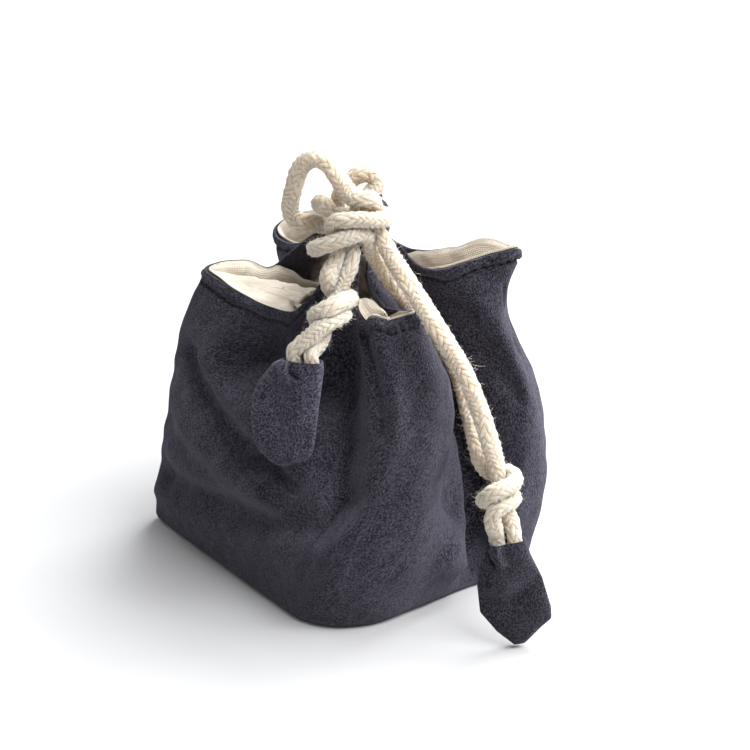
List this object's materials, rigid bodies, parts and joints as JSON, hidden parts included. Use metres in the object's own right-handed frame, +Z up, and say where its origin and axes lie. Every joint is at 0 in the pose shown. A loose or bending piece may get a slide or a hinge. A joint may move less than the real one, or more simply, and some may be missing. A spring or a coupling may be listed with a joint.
{
  "type": "kinchaku drawstring pouch",
  "caption": "Square-bottomed lined cloth pouch, gathered at its mouth by two braided cords with stopper knots and padded fabric tags.",
  "frame": {"origin": "middle of the base rectangle, on the underside, where the pouch rests on a table", "axes": "+Z up; X along the longer side of the base and Y along the shorter; the tied cords hang over the front corner of the base, at +X and -Y"},
  "size_m": [0.1459, 0.1017, 0.1439],
  "materials": {
    "outer_cloth": "brushed, matt",
    "lining_cloth": "woven linen, matt",
    "cord": "braided cotton, matt"
  },
  "bodies": {
    "root": {"outer_shell": "outer_cloth", "lining": "lining_cloth", "cord_left": "cord", "cord_right": "cord", "cord_loop_front": "outer_cloth", "cord_loop_right": "outer_cloth", "cord_loop_back": "outer_cloth", "cord_loop_left": "outer_cloth", "tab_left": "outer_cloth", "tab_right": "outer_cloth"}
  },
  "joints": []
}
